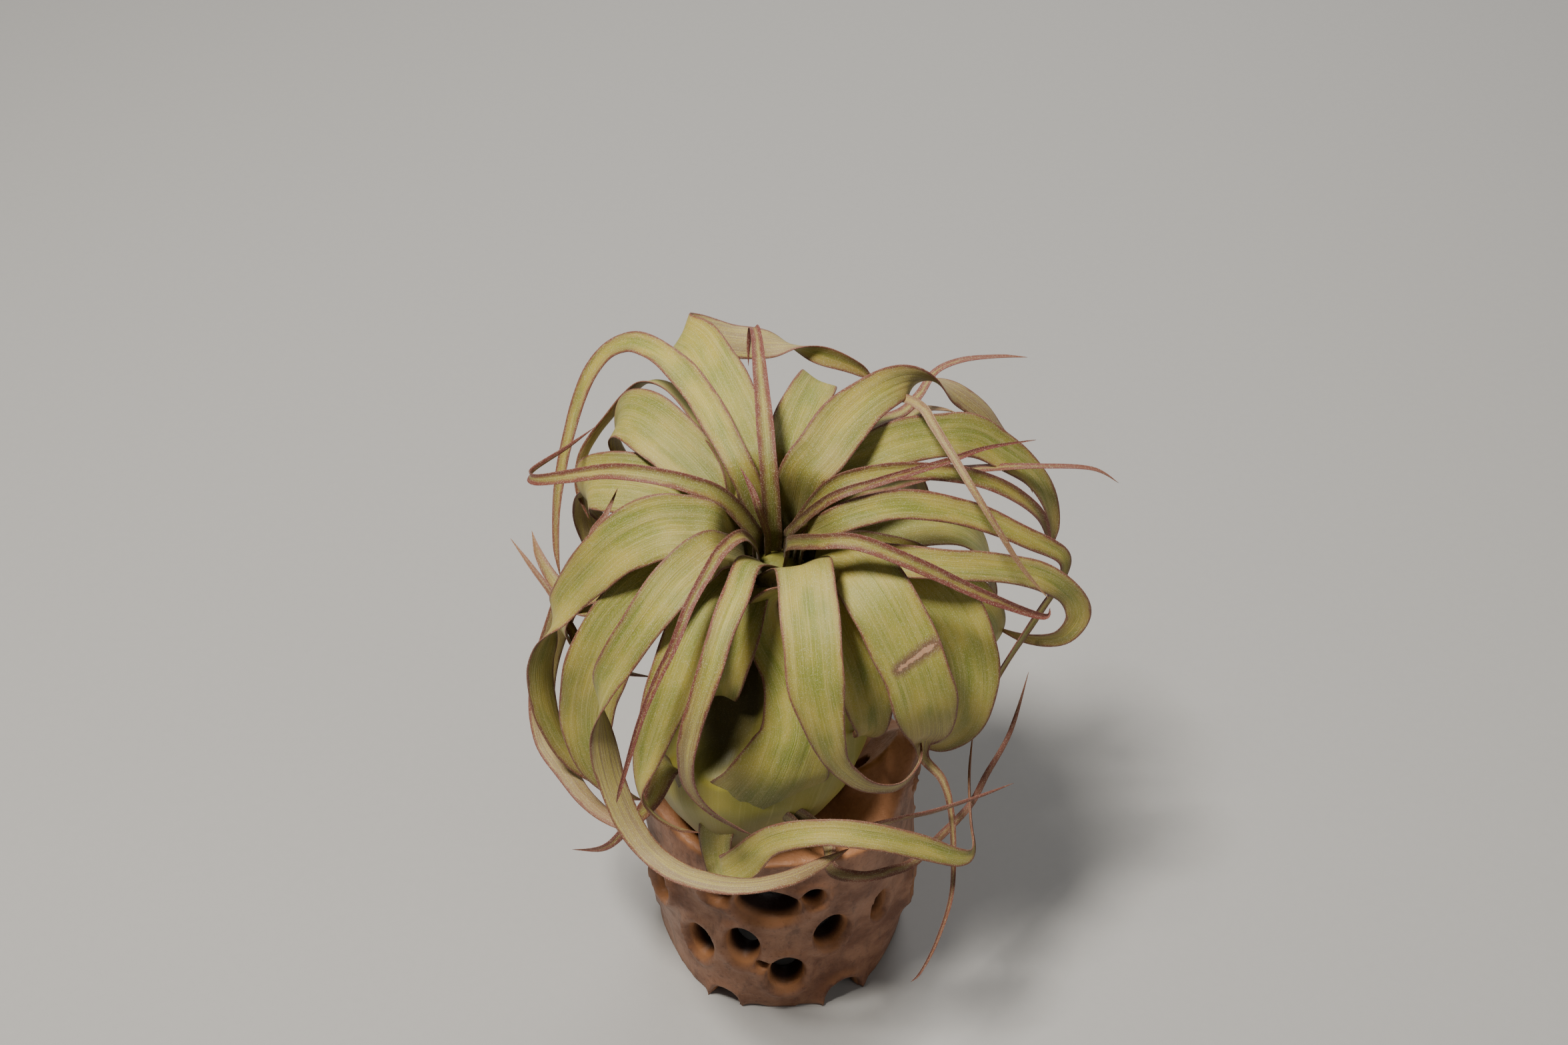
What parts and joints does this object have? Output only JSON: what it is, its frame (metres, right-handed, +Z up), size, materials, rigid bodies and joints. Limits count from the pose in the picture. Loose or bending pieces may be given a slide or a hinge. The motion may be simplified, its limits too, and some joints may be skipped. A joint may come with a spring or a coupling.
{
  "type": "curly-leaved air plant in a holed wood stand",
  "caption": "Bulbous air plant with long strap leaves that arch out of a narrow funnel and curl into a ball, standing in the top of a hollow, hole-riddled piece of wood.",
  "frame": {"origin": "on the surface that the wood stands on, below the middle of the whole object's box", "axes": "+Z up, the front that the plant leans towards is -Y, +X to the right seen from there"},
  "size_m": [0.1946, 0.1558, 0.2262],
  "materials": {
    "leaf_green": "living leaf, pale yellow-green, softly striped, fuzzy grey underside",
    "leaf_red": "young channelled leaf with wine-red margins and tip",
    "bulb": "pale green fused leaf bases, satin and finely scaled",
    "wood": "weathered orange-brown wood, worn smooth round its holes"
  },
  "bodies": {
    "root": {"bulb_of_leaf_bases": "bulb", "holed_wood_stand": "wood", "leaf_back_broad": "leaf_green", "leaf_back_brown_tip": "leaf_green", "leaf_back_channel": "leaf_red", "leaf_back_left_arching": "leaf_green", "leaf_back_left_broad": "leaf_green", "leaf_back_right_broad": "leaf_green", "leaf_back_right_purple_tip": "leaf_green", "leaf_back_right_strap": "leaf_green", "leaf_back_rolled": "leaf_green", "leaf_behind_1_1": "leaf_green", "leaf_behind_1_2": "leaf_green", "leaf_behind_1_3": "leaf_green", "leaf_behind_1_4": "leaf_green", "leaf_behind_1_5": "leaf_green", "leaf_behind_2_1": "leaf_green", "leaf_behind_2_2": "leaf_green", "leaf_behind_2_3": "leaf_green", "leaf_behind_2_4": "leaf_green", "leaf_behind_2_5": "leaf_green", "leaf_bottom_front": "leaf_green", "leaf_bottom_left_dark_tip": "leaf_green", "leaf_bottom_right_long_tip": "leaf_green", "leaf_bottom_right_tip": "leaf_green", "leaf_crossing_red": "leaf_red", "leaf_dry_diagonal": "leaf_red", "leaf_far_right_tip": "leaf_green", "leaf_front_left_dark": "leaf_green", "leaf_front_left_green": "leaf_green", "leaf_front_left_inner": "leaf_green", "leaf_front_left_red": "leaf_red", "leaf_front_left_strap": "leaf_green", "leaf_front_narrow": "leaf_green", "leaf_front_right_inner": "leaf_green", "leaf_front_sheath": "leaf_green", "leaf_front_strap": "leaf_green", "leaf_heart_tip": "leaf_red", "leaf_left_broad": "leaf_green", "leaf_left_channel": "leaf_red", "leaf_left_far": "leaf_green", "leaf_left_horn": "leaf_green", "leaf_left_outer": "leaf_green", "leaf_left_pale": "leaf_green", "leaf_left_small_tip": "leaf_red", "leaf_left_thin_tail": "leaf_green", "leaf_right_arching": "leaf_green", "leaf_right_broad": "leaf_green", "leaf_right_channel": "leaf_red", "leaf_right_loop": "leaf_green", "leaf_right_red": "leaf_red", "leaf_right_scarred": "leaf_green"}
  },
  "joints": []
}
